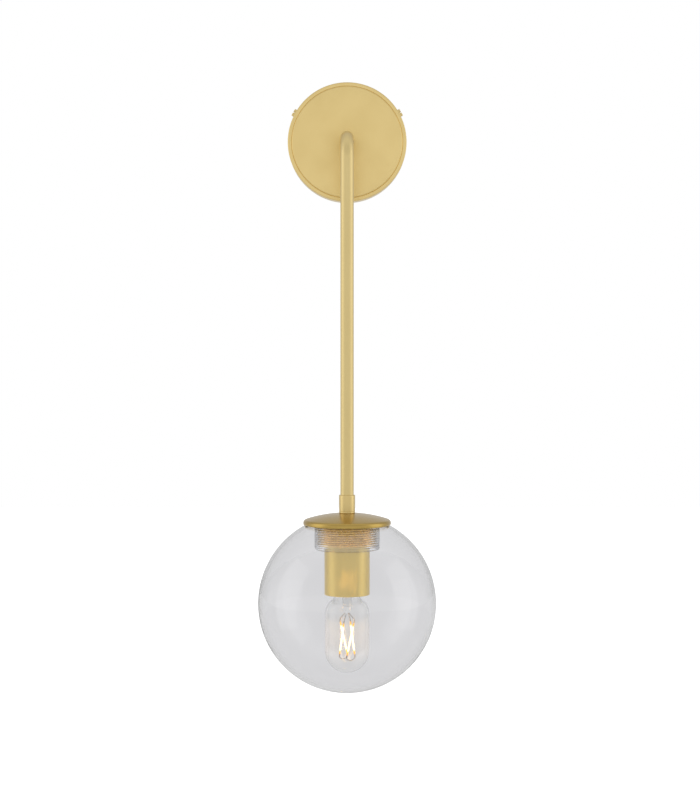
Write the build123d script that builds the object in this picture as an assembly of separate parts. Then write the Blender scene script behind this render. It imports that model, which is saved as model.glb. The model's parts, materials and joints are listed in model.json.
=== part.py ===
"""Wall sconce: a round canopy, one bent tube and a clear glass globe that screws on to a threaded ring.

Millimetres. The wall is the plane y = 0 and the room lies towards -Y, +Z is up, and the origin is
the centre of the wall bracket, on the axis of the arm's horizontal run.
"""

import os
from math import cos, radians, sin, sqrt, tan

from build123d import *

# ---------------------------------------------------------------- main sizes
arm_reach = 100.0  # wall to the stem's axis
globe_drop = 465.2  # arm's axis to the globe's centre
arm_radius = 6.6
arm_wall = 1.5
arm_bend_radius = 22.0  # on the tube's centreline
seat_gap = 0.3  # between a soft or moving piece and its seat

# ---------------------------------------------------------------- canopy and bracket
canopy_radius = 61.0
canopy_depth = 30.0
canopy_wall = 1.2
canopy_rim_round = 1.0
canopy_disc_radius = 56.9  # the raised disc in the canopy's face
canopy_disc_step = 1.5
canopy_disc_round = 1.3
arm_hole_gap = 0.35  # between the arm and its hole in the canopy

bracket_radius = 54.0
bracket_thickness = 1.5
bracket_slot_spacing = 79.4  # centre to centre, for the screws of a wall box
bracket_slot_length = 24.0
bracket_slot_width = 4.6
supply_hole_radius = 11.0
tab_angles = (30.0, 150.0, 270.0)
tab_width = 12.0
tab_height = 16.0
tab_gap = 0.6  # between a tab and the canopy's wall
tab_screw_level = 10.0  # out from the wall

canopy_screw_radius = 2.0
canopy_screw_length = 8.0
canopy_screw_hole_gap = 0.3
canopy_screw_thread_gap = 0.05
screw_head_radius = 4.0
screw_head_height = 3.3
screw_slot_width = 1.1
screw_slot_depth = 1.4

ground_screw_place = (26.0, -26.0)  # across and up from the bracket's centre
ground_screw_head_radius = 4.2
ground_screw_head_height = 2.6

block_size = (30.0, 17.0, 15.0)  # across, up, out from the bracket
block_centre_drop = 32.0
block_pitch = 9.5
block_poles = 3
block_well_radius = 2.4
block_well_depth = 7.0
block_well_spread = 8.0  # between the two wells of a pole
block_screw_radius = 2.0
block_screw_height = 3.0
block_corner_round = 1.5
block_groove_width = 1.2
wire_screw_slot_width = 0.8
wire_screw_slot_depth = 0.8

# ---------------------------------------------------------------- threaded tube fastening
nipple_radius = 5.0
nipple_bore = 4.0
nipple_gap = 0.2  # between the nipple and a hole that it passes through
nipple_thread_gap = 0.05
lock_washer_radius = 8.6
lock_washer_thickness = 1.0
lock_washer_teeth = 12
lock_washer_notch = 1.4
nut_across_flats = 14.0
nut_thickness = 4.0
nut_bevel_angle = 30.0
arm_plate_radius = 24.0
arm_plate_thickness = 2.5
arm_nipple_in_arm = 14.0
arm_nipple_past_nut = 3.0

# ---------------------------------------------------------------- globe
globe_radius = 89.0
globe_wall = 3.0
collar_wall = 2.5
collar_length = 26.0  # from the gasket's seat to the lip
globe_bottom_share = 0.5  # the bottom band's radius, as a share of the globe's
collar_gap = 0.4  # between the ring's thread and the collar's thread, at mid height
collar_root_round = 2.5
collar_lip_round = 1.1
gasket_thickness = 1.6
gasket_width = 4.9

# ---------------------------------------------------------------- cap, ring, cup
cap_radius = 43.8
cap_gap = 0.4  # between the cap and the globe below it
cap_wall = 1.5  # at its middle; it thickens towards the rim
cap_dome_radius = 135.0
cap_rim_round = 3.4
cap_lip_round = 1.2
ferrule_radius = 8.0
ferrule_length = 18.2
ferrule_chamfer = 0.5
ferrule_seat_margin = 0.6
stem_in_ferrule = 9.0
ring_radius = 29.4
ring_wall = 2.0
ring_plate = 2.0
ring_depth = 24.6
ring_clear_of_cap = 1.2
ring_hub_radius = 8.0
ring_round = 1.0
ring_edge_round = 0.4
cup_radius = 22.6
cup_wall = 1.0
cup_length = 72.2
cup_mouth_round = 0.45
cup_shoulder_round = 2.0

# ---------------------------------------------------------------- lampholder
holder_recess = 2.7  # its mouth above the cup's mouth
holder_below_nut = 3.0
holder_radius = 19.5
holder_wall = 2.2
holder_cap_height = 15.0
holder_cap_top_radius = 11.0
holder_cap_slope = 7.0
holder_waist_radius = 17.6
holder_waist_drop = 3.5
holder_round = 1.0
insert_radius = 17.0
insert_height = 11.0
insert_recess_radius = 7.5
insert_recess_depth = 4.6
screw_shell_wall = 0.4
screw_shell_gap = 0.5  # between the bulb's base and the shell, at mid thread
screw_shell_length = 21.0
screw_shell_collar = 9.0
spring_width = 5.0
spring_thickness = 0.5
spring_length = 11.0
terminal_screw_radius = 2.2
terminal_screw_height = 3.0
terminal_screw_offset = 11.0

# ---------------------------------------------------------------- bulb
bulb_in_holder = 28.6  # the bulb's top above the lampholder's mouth
bulb_clear_of_globe = 16.33  # room to screw the bulb out without touching the glass
bulb_radius = 22.3
bulb_wall = 1.0
bulb_neck_radius = 12.9
bulb_neck_in_base = 3.6
bulb_shoulder_high = 8.1  # start of the shoulder's slope, below the base
bulb_shoulder_low = 15.6
bulb_shoulder_round = 16.0
bulb_neck_round = 5.0
bulb_end_round = 0.995  # share of the radius that the round end takes
base_length = 27.0
base_thread_radius = 12.9
base_wall = 0.35
base_rim_radius = 13.7
base_rim_height = 2.9
base_flare_height = 2.5
base_shoulder = 0.6
base_ledge = 2.5  # of the base's top under the insulator's foot
contact_radius = 4.8
contact_height = 1.5
contact_gap = 0.1
contact_round = 1.0
insulator_height = 3.9
insulator_top_radius = 5.8
insulator_low_radius = 12.2
insulator_foot = 0.6
mount_length = 25.0  # below the base's rim
mount_seal_gap = 0.05
mount_tube_radius = 5.2
mount_tip_radius = 2.2
mount_rim_height = 1.5
mount_flare_height = 9.0
mount_pinch_high = 7.0  # above the mount's tip
mount_pinch_low = 3.0
mount_round = 2.0
mount_tip_round = 1.5
filament_radius = 0.95
filament_circle = 7.5  # the four filaments stand on this radius
filament_twist = 64.0  # degrees, the top ends against the bottom ends
filament_first_angle = -90.0
filament_count = 4
filament_below_mount = 7.7
filament_above_low = 18.6  # above the bulb's lowest point
filament_tab_radius = 0.5
filament_tab_length = 3.0
wire_radius = 0.3
wire_hold = 1.5  # the pinch takes the wires this far above its tip
bridge_sag = 2.5
board_gap = 0.1  # between the board's edge and the base
board_thickness = 1.2
board_below_contact = 10.0
capacitor_radius = 3.0
capacitor_height = 7.0
capacitor_edge_gap = 1.0


# ---------------------------------------------------------------- worked out from the sizes above
globe_level = -globe_drop
globe_bottom_band = -globe_radius * sqrt(1 - globe_bottom_share**2)


def sphere_level(radius, at):
    """Height of a sphere about the globe's centre, at a distance from the stem's axis."""
    return globe_level + sqrt(radius**2 - at**2)


cap_inner = globe_radius + cap_gap
cap_outer = cap_inner + cap_wall
cap_seat = sphere_level(cap_outer, ferrule_radius + ferrule_seat_margin)
cap_dome_centre = cap_seat - sqrt(cap_dome_radius**2 - (ferrule_radius + ferrule_seat_margin) ** 2)
cap_rim_high = cap_dome_centre + sqrt(cap_dome_radius**2 - cap_radius**2)
cap_rim_low = sphere_level(cap_inner, cap_radius)
ferrule_top = cap_seat + ferrule_length
stem_end = ferrule_top - stem_in_ferrule

ring_plate_top = sphere_level(cap_inner, ring_radius) - ring_clear_of_cap
ring_plate_low = ring_plate_top - ring_plate
ring_mouth = ring_plate_top - ring_depth
ring_hub_top = sphere_level(cap_inner, ring_hub_radius)

collar_bore = ring_radius + collar_gap
collar_radius = collar_bore + collar_wall
gasket_inner = collar_bore
gasket_outer = gasket_inner + gasket_width
gasket_seat_radius = gasket_outer + seat_gap
gasket_top = sphere_level(cap_inner, gasket_outer) - seat_gap
gasket_low = gasket_top - gasket_thickness
gasket_seat = gasket_low - seat_gap
collar_lip = gasket_seat - collar_length

cup_top = ring_plate_low
cup_mouth = cup_top - cup_length
cup_washer_low = cup_top - cup_wall - lock_washer_thickness
cup_nut_low = cup_washer_low - nut_thickness

holder_mouth = cup_mouth + holder_recess
holder_top = cup_nut_low - holder_below_nut
holder_split = holder_top - holder_cap_height
stem_nipple_top = stem_end + (ferrule_length - stem_in_ferrule) / 2
stem_nipple_low = holder_top - holder_cap_slope - (holder_cap_height - holder_cap_slope) / 2

bulb_low = globe_level - globe_radius + globe_wall + bulb_clear_of_globe
bulb_top = holder_mouth + bulb_in_holder
base_rim = bulb_top - base_length
mount_low = base_rim - mount_length
contact_low = bulb_top - contact_height
insulator_top = contact_low - contact_gap
insulator_low = insulator_top - insulator_height
base_top_hole = insulator_low_radius - base_ledge
board_radius = base_thread_radius - base_wall - board_gap
spring_low = bulb_top + seat_gap
insert_low = contact_low - contact_gap
screw_shell_bore = base_thread_radius + screw_shell_gap
screw_shell_radius = screw_shell_bore + screw_shell_wall
holder_bore = screw_shell_radius + holder_round / 2

canopy_face = canopy_depth - canopy_wall  # the inside of the canopy's front, out from the wall
arm_plate_back = canopy_face - arm_plate_thickness
arm_washer_back = arm_plate_back - lock_washer_thickness
arm_nut_back = arm_washer_back - nut_thickness
tab_face = canopy_radius - canopy_wall - tab_gap


# ---------------------------------------------------------------- helpers
def turned(points, radii=None):
    """A solid turned about the vertical axis from a closed outline of (radius, height) points.

    radii gives each corner's rounding, 0 for a sharp one."""
    if radii:
        outline = FilletPolyline(*points, radius=radii, close=True)
    else:
        outline = Polyline(*points, close=True)
    return revolve(Plane.XZ * make_face(outline), Axis.Z)


def tube(outer, inner, low, high):
    """An upright tube between two heights."""
    return turned([(inner, low), (outer, low), (outer, high), (inner, high)])


def rod(radius, low, high):
    """An upright round bar between two heights."""
    return Pos(0, 0, low) * Cylinder(radius, high - low, align=(Align.CENTER, Align.CENTER, Align.MIN))


def hex_nut(low):
    """The hexagon nut of the threaded tube, with its outer corners turned off."""
    blank = extrude(RegularPolygon(nut_across_flats / 2, 6, major_radius=False), nut_thickness)
    corner = nut_across_flats / sqrt(3)
    bevel = corner - nut_across_flats / 2
    drop = bevel * tan(radians(nut_bevel_angle))
    outline = [
        (0, 0),
        (corner - bevel, 0),
        (corner, drop),
        (corner, nut_thickness - drop),
        (corner - bevel, nut_thickness),
        (0, nut_thickness),
    ]
    nut = blank & turned(outline)
    nut -= Cylinder(nipple_radius + nipple_thread_gap, 3 * nut_thickness)
    return Pos(0, 0, low) * nut


def lock_washer(low):
    """A toothed lock washer: a thin ring with notches round its edge."""
    washer = tube(lock_washer_radius, nipple_radius + nipple_gap, 0, lock_washer_thickness)
    notch = Pos(lock_washer_radius, 0, 0) * Box(
        2 * lock_washer_notch, lock_washer_notch, 3 * lock_washer_thickness
    )
    washer -= [Rot(Z=360 / lock_washer_teeth * n) * notch for n in range(lock_washer_teeth)]
    return Pos(0, 0, low) * washer


def slotted_screw(head_radius, head_height, shank_radius, shank_length):
    """A cheese-head screw that stands on its shank: the head's underside is at height 0."""
    screw = rod(head_radius, 0, head_height) + rod(shank_radius, -shank_length, 0)
    edge = screw.edges().filter_by(GeomType.CIRCLE).sort_by(Axis.Z)[-1]
    screw = chamfer(edge, head_height / 8)
    slot = Pos(0, 0, head_height) * Box(3 * head_radius, screw_slot_width, 2 * screw_slot_depth)
    return screw - slot


def wire_screw(radius, height):
    """A small slotted clamping screw without a head, standing on height 0."""
    slot = Pos(0, 0, height) * Box(3 * radius, wire_screw_slot_width, 2 * wire_screw_slot_depth)
    return rod(radius, 0, height) - slot


def on_wall(piece):
    """Turns a piece made with its height as the distance out from the wall, and its Y up."""
    return Rot(X=90) * piece


def on_stem(piece):
    """Moves a piece from the vertical axis to the stem's axis."""
    return Pos(0, -arm_reach, 0) * piece


def ring_point(radius, angle, height):
    """A point at a distance and an angle round the vertical axis."""
    return Vector(radius * cos(radians(angle)), radius * sin(radians(angle)), height)


def bar_between(start, end, radius):
    """A straight round bar from one point to another."""
    run = end - start
    return Plane(start, z_dir=run) * rod(radius, 0, run.length)


# ---------------------------------------------------------------- canopy and wall bracket
def wall_bracket():
    """Round steel plate with three tabs bent outwards, which take the canopy's side screws."""
    plate = rod(bracket_radius, 0, bracket_thickness)
    inner = tab_face - bracket_thickness
    for angle in tab_angles:
        foot = Pos((bracket_radius / 2 + tab_face) / 2, 0, bracket_thickness / 2) * Box(
            tab_face - bracket_radius / 2, tab_width, bracket_thickness
        )
        tab = Pos((inner + tab_face) / 2, 0, tab_height / 2) * Box(bracket_thickness, tab_width, tab_height)
        hole = Pos(tab_face, 0, tab_screw_level) * Rot(Y=90) * Cylinder(
            canopy_screw_radius + canopy_screw_thread_gap, 4 * bracket_thickness
        )
        plate += Rot(Z=angle) * (foot + tab - hole)
    slot = extrude(SlotOverall(bracket_slot_length, bracket_slot_width), 3 * bracket_thickness, both=True)
    plate -= [Pos(side * bracket_slot_spacing / 2, 0, 0) * slot for side in (-1, 1)]
    plate -= Cylinder(supply_hole_radius, 4 * bracket_thickness)
    across, up = ground_screw_place
    tapped = Cylinder(canopy_screw_radius + canopy_screw_thread_gap, 4 * bracket_thickness)
    plate -= Pos(across, up, 0) * tapped
    return on_wall(plate)


def canopy():
    """Spun drum, open to the wall, with a raised disc in its face, an arm hole and three screw holes."""
    shoulder = canopy_depth - canopy_disc_step
    inside = canopy_radius - canopy_wall
    disc_inside = canopy_disc_radius - canopy_wall
    hole = arm_radius + arm_hole_gap
    outline = [
        (inside, 0),
        (canopy_radius, 0),
        (canopy_radius, shoulder),
        (canopy_disc_radius, shoulder),
        (canopy_disc_radius, canopy_depth),
        (hole, canopy_depth),
        (hole, canopy_face),
        (disc_inside, canopy_face),
        (disc_inside, shoulder - canopy_wall),
        (inside, shoulder - canopy_wall),
    ]
    radii = [0, 0, canopy_rim_round, 0, canopy_disc_round, 0, 0, 0, 0, 0]
    drum = turned(outline, radii)
    screw_hole = Pos(canopy_radius, 0, tab_screw_level) * Rot(Y=90) * Cylinder(
        canopy_screw_radius + canopy_screw_hole_gap, 4 * canopy_wall
    )
    drum -= [Rot(Z=angle) * screw_hole for angle in tab_angles]
    return on_wall(drum)


def canopy_screws():
    """Three slotted screws through the canopy's side into the bracket's tabs."""
    screw = slotted_screw(screw_head_radius, screw_head_height, canopy_screw_radius, canopy_screw_length)
    placed = Pos(canopy_radius, 0, tab_screw_level) * Rot(Y=90) * screw
    return on_wall(Compound(children=[Rot(Z=angle) * placed for angle in tab_angles]))


def ground_screw():
    """Slotted screw of the earth wire, driven into the bracket."""
    across, up = ground_screw_place
    screw = slotted_screw(
        ground_screw_head_radius, ground_screw_head_height, canopy_screw_radius, bracket_thickness
    )
    return on_wall(Pos(across, up, bracket_thickness) * screw)


def pole_places():
    """Centres of the terminal wells, across and up from the block's centre."""
    first = -(block_poles - 1) / 2 * block_pitch
    return [
        (first + pole * block_pitch, side * block_well_spread / 2)
        for pole in range(block_poles)
        for side in (-1, 1)
    ]


def terminal_block():
    """Moulded terminal block on the bracket: one waisted body with two screw wells for each pole."""
    wide, high, deep = block_size
    block = Box(wide, high, deep, align=(Align.CENTER, Align.CENTER, Align.MIN))
    block = fillet(block.edges().filter_by(Axis.Z), block_corner_round)
    groove = Box(block_groove_width, 2 * high, 2 * (deep - block_well_depth))
    for n in range(block_poles - 1):
        block -= Pos((n - (block_poles - 2) / 2) * block_pitch, 0, deep) * groove
    well = Pos(0, 0, deep) * Cylinder(block_well_radius, 2 * block_well_depth)
    block -= [Pos(x, y, 0) * well for x, y in pole_places()]
    return on_wall(Pos(0, -block_centre_drop, bracket_thickness) * block)


def terminal_block_screws():
    """The clamping screws at the bottom of the block's wells."""
    deep = block_size[2] - block_well_depth
    screw = wire_screw(block_screw_radius, block_screw_height)
    placed = [Pos(x, y, deep) * screw for x, y in pole_places()]
    return on_wall(Pos(0, -block_centre_drop, bracket_thickness) * Compound(children=placed))


# ---------------------------------------------------------------- arm
def arm_tube():
    """One tube: a short run out of the canopy, a bend down, and the long stem."""
    start = (0, -canopy_face, 0)
    corner = (0, -arm_reach, 0)
    end = (0, -arm_reach, stem_end)
    path = FilletPolyline(start, corner, end, radius=arm_bend_radius)
    section = Plane(start, z_dir=(0, -1, 0)) * (Circle(arm_radius) - Circle(arm_radius - arm_wall))
    return sweep(section, path)


def arm_plate():
    """Stiffening plate behind the canopy's face, which the arm's end bears on."""
    return on_wall(tube(arm_plate_radius, nipple_radius + nipple_gap, arm_plate_back, canopy_face))


def arm_nipple():
    """Threaded tube in the arm's upper end, which the nut inside the canopy pulls on."""
    low = arm_nut_back - arm_nipple_past_nut
    return on_wall(tube(nipple_radius, nipple_bore, low, canopy_face + arm_nipple_in_arm))


def arm_lock_washer():
    return on_wall(lock_washer(arm_washer_back))


def arm_nut():
    return on_wall(hex_nut(arm_nut_back))


# ---------------------------------------------------------------- ferrule, cap, ring and cup
def ferrule():
    """Turned sleeve at the stem's foot: the stem sits in its upper bore, the nipple in its lower one."""
    upper = arm_radius + nipple_thread_gap
    lower = nipple_radius + nipple_thread_gap
    outline = [
        (lower, cap_seat),
        (ferrule_radius - ferrule_chamfer, cap_seat),
        (ferrule_radius, cap_seat + ferrule_chamfer),
        (ferrule_radius, ferrule_top - ferrule_chamfer),
        (ferrule_radius - ferrule_chamfer, ferrule_top),
        (upper, ferrule_top),
        (upper, stem_end),
        (lower, stem_end),
    ]
    return on_stem(turned(outline))


def stem_nipple():
    """Threaded tube from the ferrule through the cap, the ring and the cup into the lampholder."""
    return on_stem(tube(nipple_radius, nipple_bore, stem_nipple_low, stem_nipple_top))


def dome_cap():
    """Turned cap: its underside follows the globe, its top is a flatter dome, and its rim is well rounded."""
    dome = Pos(0, 0, cap_dome_centre - globe_level) * Sphere(cap_dome_radius) - Sphere(cap_inner)
    floor = cap_outer * 2
    dome &= Cylinder(cap_radius, floor, align=(Align.CENTER, Align.CENTER, Align.MIN))
    dome -= Cylinder(nipple_radius + nipple_gap, 3 * floor)
    flat = Pos(0, 0, cap_seat - globe_level) * Cylinder(
        cap_radius, floor, align=(Align.CENTER, Align.CENTER, Align.MIN)
    )
    dome -= flat
    thickness = cap_rim_high - cap_rim_low
    for top, wanted in ((True, min(cap_rim_round, 0.62 * thickness)), (False, min(cap_lip_round, 0.3 * thickness))):
        rim = [
            edge
            for edge in dome.edges().filter_by(GeomType.CIRCLE)
            if abs(edge.radius - cap_radius) < 0.01
        ]
        rim.sort(key=lambda edge: edge.center().Z)
        dome = fillet(rim[-1] if top else rim[0], wanted)
    return on_stem(Pos(0, 0, globe_level) * dome)


def shade_ring():
    """Turned ring that carries the globe: hub under the cap, flat plate and threaded skirt."""
    inside = ring_radius - ring_wall
    hole = nipple_radius + nipple_gap
    outline = [
        (hole, ring_hub_top),
        (hole, ring_plate_low),
        (inside, ring_plate_low),
        (inside, ring_mouth),
        (ring_radius, ring_mouth),
        (ring_radius, ring_plate_top),
        (ring_hub_radius, ring_plate_top),
        (ring_hub_radius, ring_hub_top),
    ]
    radii = [0, 0, ring_round, 0, ring_edge_round, ring_round, ring_round, 0]
    return on_stem(turned(outline, radii))


def globe_gasket():
    """Soft flat ring between the globe's seat and the cap."""
    return on_stem(tube(gasket_outer, gasket_inner, gasket_low, gasket_top))


def whole_globe():
    """Blown globe with a ground gasket seat and a rounded root for the collar, about the stem's axis."""
    shell = Sphere(globe_radius) - Sphere(globe_radius - globe_wall)
    lip = collar_lip - globe_level
    seat = gasket_seat - globe_level
    shell += rod(collar_radius, lip, seat)
    shell -= rod(gasket_seat_radius, seat, globe_radius + 1)
    circles = shell.edges().filter_by(GeomType.CIRCLE)
    outer = [edge for edge in circles if abs(edge.radius - collar_radius) < 0.01]
    root = sorted(outer, key=lambda edge: edge.center().Z)[-1]
    shell = fillet(root, collar_root_round)
    return shell - rod(collar_radius, lip - 1, globe_radius + 1)


def globe_band(low, high):
    """The part of the globe between two heights above its centre."""
    return on_stem(Pos(0, 0, globe_level) * (whole_globe() & rod(globe_radius + 1, low, high)))


def glass_globe_upper():
    """The globe's glass from its mouth to its widest place; the lower bands and the collar are one glass with it."""
    return globe_band(0, globe_radius + 1)


def glass_globe_lower():
    """The globe's glass below its widest place."""
    return globe_band(globe_bottom_band, 0)


def glass_globe_bottom():
    """The round bottom of the globe's glass, under the bulb."""
    return globe_band(-globe_radius - 1, globe_bottom_band)


def globe_collar():
    """The globe's threaded glass collar, which hangs inside its mouth and is one glass with it."""
    outline = [
        (collar_bore, collar_lip),
        (collar_radius, collar_lip),
        (collar_radius, gasket_seat),
        (collar_bore, gasket_seat),
    ]
    return on_stem(turned(outline, [collar_lip_round, collar_lip_round, 0, 0]))


def socket_cup():
    """Spun cup round the lampholder, closed above and open below."""
    inside = cup_radius - cup_wall
    hole = nipple_radius + nipple_gap
    outline = [
        (hole, cup_top),
        (hole, cup_top - cup_wall),
        (inside, cup_top - cup_wall),
        (inside, cup_mouth),
        (cup_radius, cup_mouth),
        (cup_radius, cup_top),
    ]
    radii = [0, 0, cup_shoulder_round - cup_wall, cup_mouth_round, cup_mouth_round, cup_shoulder_round]
    return on_stem(turned(outline, radii))


def cup_lock_washer():
    return on_stem(lock_washer(cup_washer_low))


def cup_nut():
    return on_stem(hex_nut(cup_nut_low))


# ---------------------------------------------------------------- lampholder
def lampholder_cap():
    """Upper half of the moulded lampholder, screwed on to the nipple."""
    hole = nipple_radius + nipple_thread_gap
    inside = holder_radius - holder_wall
    roof = holder_top - holder_cap_slope
    outline = [
        (hole, holder_top),
        (hole, roof),
        (inside, roof),
        (inside, holder_split),
        (holder_radius, holder_split),
        (holder_radius, holder_top - holder_cap_slope + holder_wall),
        (holder_cap_top_radius, holder_top),
    ]
    radii = [0, 0, holder_round, 0, 0, holder_round, holder_round]
    return on_stem(turned(outline, radii))


def lampholder_body():
    """Lower half of the lampholder: a skirt with a ledge that carries the insert."""
    inside = insert_radius + seat_gap
    waist = insert_low - holder_waist_drop
    outline = [
        (inside, holder_split),
        (inside, insert_low),
        (holder_bore, insert_low),
        (holder_bore, holder_mouth),
        (holder_waist_radius, holder_mouth),
        (holder_waist_radius, waist),
        (holder_radius, waist),
        (holder_radius, holder_split),
    ]
    radii = [0, 0, 0, 0, holder_round, holder_round / 2, holder_round / 2, 0]
    return on_stem(turned(outline, radii))


def lampholder_insert():
    """Ceramic block on the ledge, with a pocket for the centre contact."""
    top = insert_low + insert_height
    ceiling = insert_low + insert_recess_depth
    outline = [
        (0, top),
        (0, ceiling),
        (insert_recess_radius, ceiling),
        (insert_recess_radius, insert_low),
        (insert_radius, insert_low),
        (insert_radius, top),
    ]
    return on_stem(turned(outline))


def lampholder_screw_shell():
    """Brass shell that takes the bulb's thread, with a collar under the insert."""
    outline = [
        (screw_shell_collar, insert_low),
        (screw_shell_collar, insert_low - screw_shell_wall),
        (screw_shell_bore, insert_low - screw_shell_wall),
        (screw_shell_bore, insert_low - screw_shell_length),
        (screw_shell_radius, insert_low - screw_shell_length),
        (screw_shell_radius, insert_low),
    ]
    return on_stem(turned(outline))


def lampholder_centre_contact():
    """Spring strip folded back on itself: fixed in the pocket's ceiling, its free leaf over the bulb."""
    high = insert_low + insert_recess_depth
    middle = (high + spring_low) / 2
    bend = (high - spring_low) / 2
    left = -spring_length / 2
    right = spring_length / 2 - bend
    path = Line((left, high - spring_thickness / 2), (right, high - spring_thickness / 2))
    fold = CenterArc((right, middle), bend - spring_thickness / 2, 90, -180)
    leaf = Line((right, spring_low + spring_thickness / 2), (left / 2, spring_low + spring_thickness / 2))
    centreline = Wire(path.edges() + fold.edges() + leaf.edges())
    strip = Plane.XZ * make_face(centreline.offset_2d(spring_thickness / 2, side=Side.BOTH))
    return on_stem(extrude(strip, spring_width / 2, both=True))


def lampholder_terminals():
    """Two slotted wire screws on top of the insert."""
    top = insert_low + insert_height
    screw = wire_screw(terminal_screw_radius, terminal_screw_height)
    places = [Pos(side * terminal_screw_offset, 0, top) * screw for side in (-1, 1)]
    return on_stem(Compound(children=places))


# ---------------------------------------------------------------- bulb
def bulb_outline(inset):
    """The bulb's glass as a full body, drawn in by a wall's thickness."""
    neck = bulb_neck_radius - inset
    belly = bulb_radius - inset
    low = bulb_low + inset
    points = [
        (0, base_rim + bulb_neck_in_base),
        (neck, base_rim + bulb_neck_in_base),
        (neck, base_rim - bulb_shoulder_high - inset / 2),
        (belly, base_rim - bulb_shoulder_low - inset / 2),
        (belly, low),
        (0, low),
    ]
    radii = [0, 0, bulb_neck_round + inset, bulb_shoulder_round - inset, belly * bulb_end_round, 0]
    return turned(points, radii)


def bulb_glass():
    """Tubular bulb glass with a round end, open at its neck."""
    return on_stem(bulb_outline(0) - bulb_outline(bulb_wall))


def bulb_base_shell():
    """Rolled screw base with a flared rim that holds the glass."""
    thread_low = base_rim + base_rim_height + base_flare_height
    inside = base_thread_radius - base_wall
    rim_inside = base_rim_radius - base_wall
    outline = [
        (base_top_hole, insulator_low),
        (base_thread_radius - base_shoulder, insulator_low),
        (base_thread_radius, insulator_low - base_shoulder),
        (base_thread_radius, thread_low),
        (base_rim_radius, base_rim + base_rim_height),
        (base_rim_radius, base_rim),
        (rim_inside, base_rim),
        (rim_inside, base_rim + base_rim_height),
        (inside, thread_low),
        (inside, insulator_low - base_wall),
        (base_top_hole, insulator_low - base_wall),
    ]
    return on_stem(turned(outline))


def bulb_base_insulator():
    """Black glass cone between the base's shell and its centre contact."""
    outline = [
        (0, insulator_top),
        (0, insulator_low),
        (insulator_low_radius, insulator_low),
        (insulator_low_radius, insulator_low + insulator_foot),
        (insulator_top_radius, insulator_top),
    ]
    return on_stem(turned(outline))


def bulb_base_contact():
    """Round button at the top of the bulb's base."""
    outline = [(0, contact_low), (contact_radius, contact_low), (contact_radius, bulb_top), (0, bulb_top)]
    return on_stem(turned(outline, [0, 0, contact_round, 0]))


def bulb_driver_board():
    """Small round circuit board with one capacitor, inside the base."""
    level = bulb_top - board_below_contact
    board = rod(board_radius, level - board_thickness, level)
    capacitor = rod(capacitor_radius, level - board_thickness - capacitor_height, level - board_thickness)
    return on_stem(board + Pos(board_radius - capacitor_radius - capacitor_edge_gap, 0, 0) * capacitor)


def bulb_mount():
    """Glass mount: a flare at the neck, a short tube and the pinch that holds the lead wires."""
    top = base_rim + bulb_neck_in_base
    flare = bulb_neck_radius - bulb_wall - mount_seal_gap
    outline = [
        (0, top),
        (flare, top),
        (flare, top - mount_rim_height),
        (mount_tube_radius, top - mount_flare_height),
        (mount_tube_radius, mount_low + mount_pinch_high),
        (mount_tip_radius, mount_low + mount_pinch_low),
        (mount_tip_radius, mount_low),
        (0, mount_low),
    ]
    radii = [0, 0, 0, bulb_neck_round, mount_round, mount_round, mount_tip_round, 0]
    return on_stem(turned(outline, radii))


def filament_ends():
    """Upper and lower end of each filament rod."""
    top = mount_low - filament_below_mount
    bottom = bulb_low + filament_above_low
    step = 360 / filament_count
    pairs = []
    for n in range(filament_count):
        angle = filament_first_angle + n * step
        foot = ring_point(filament_circle, angle, bottom)
        head = ring_point(filament_circle, angle + filament_twist, top)
        pairs.append((head, foot))
    return pairs


def bulb_filaments():
    """Four straight light rods in a twisted cage."""
    rods = [bar_between(foot, head, filament_radius) for head, foot in filament_ends()]
    return on_stem(Compound(children=rods))


def tab_ends(past=0.0):
    """Points at, or a little past, the outer ends of each rod's two metal tabs."""
    ends = []
    for head, foot in filament_ends():
        along = (head - foot).normalized() * (filament_tab_length + past)
        ends.append((head + along, foot - along))
    return ends


def bulb_filament_tabs():
    """A metal tab on each end of each filament rod."""
    bars = []
    for (head, foot), (high, low) in zip(filament_ends(), tab_ends()):
        bars.append(bar_between(head, high, filament_tab_radius))
        bars.append(bar_between(low, foot, filament_tab_radius))
    return on_stem(Compound(children=bars))


def bulb_lead_wires():
    """Wires from the mount's pinch to the upper tabs, and two sagging bridges between lower tabs."""
    wires = []
    for high, _ in tab_ends(wire_radius):
        inward = Vector(high.X, high.Y, 0).normalized() * (mount_tip_radius + wire_radius)
        hold = Vector(inward.X, inward.Y, mount_low + wire_hold)
        wires.append(bar_between(high, hold, wire_radius))
    lows = [low for _, low in tab_ends(wire_radius)]
    for n in range(0, filament_count, 2):
        start, end = lows[n], lows[n + 1]
        middle = (start + end) / 2 - Vector(0, 0, bridge_sag)
        arc = ThreePointArc(start, middle, end)
        wires.append(sweep(Plane(arc @ 0, z_dir=arc % 0) * Circle(wire_radius), arc))
    return on_stem(Compound(children=wires))


# ---------------------------------------------------------------- write one file for each piece
pieces = [
    wall_bracket,
    canopy,
    canopy_screws,
    ground_screw,
    terminal_block,
    terminal_block_screws,
    arm_tube,
    arm_plate,
    arm_nipple,
    arm_lock_washer,
    arm_nut,
    ferrule,
    stem_nipple,
    dome_cap,
    shade_ring,
    globe_gasket,
    glass_globe_upper,
    glass_globe_lower,
    glass_globe_bottom,
    globe_collar,
    socket_cup,
    cup_lock_washer,
    cup_nut,
    lampholder_cap,
    lampholder_body,
    lampholder_insert,
    lampholder_screw_shell,
    lampholder_centre_contact,
    lampholder_terminals,
    bulb_glass,
    bulb_base_shell,
    bulb_base_insulator,
    bulb_base_contact,
    bulb_driver_board,
    bulb_mount,
    bulb_filaments,
    bulb_filament_tabs,
    bulb_lead_wires,
]

os.makedirs("parts", exist_ok=True)
for piece in pieces:
    export_step(piece(), f"parts/{piece.__name__}.step")
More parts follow.
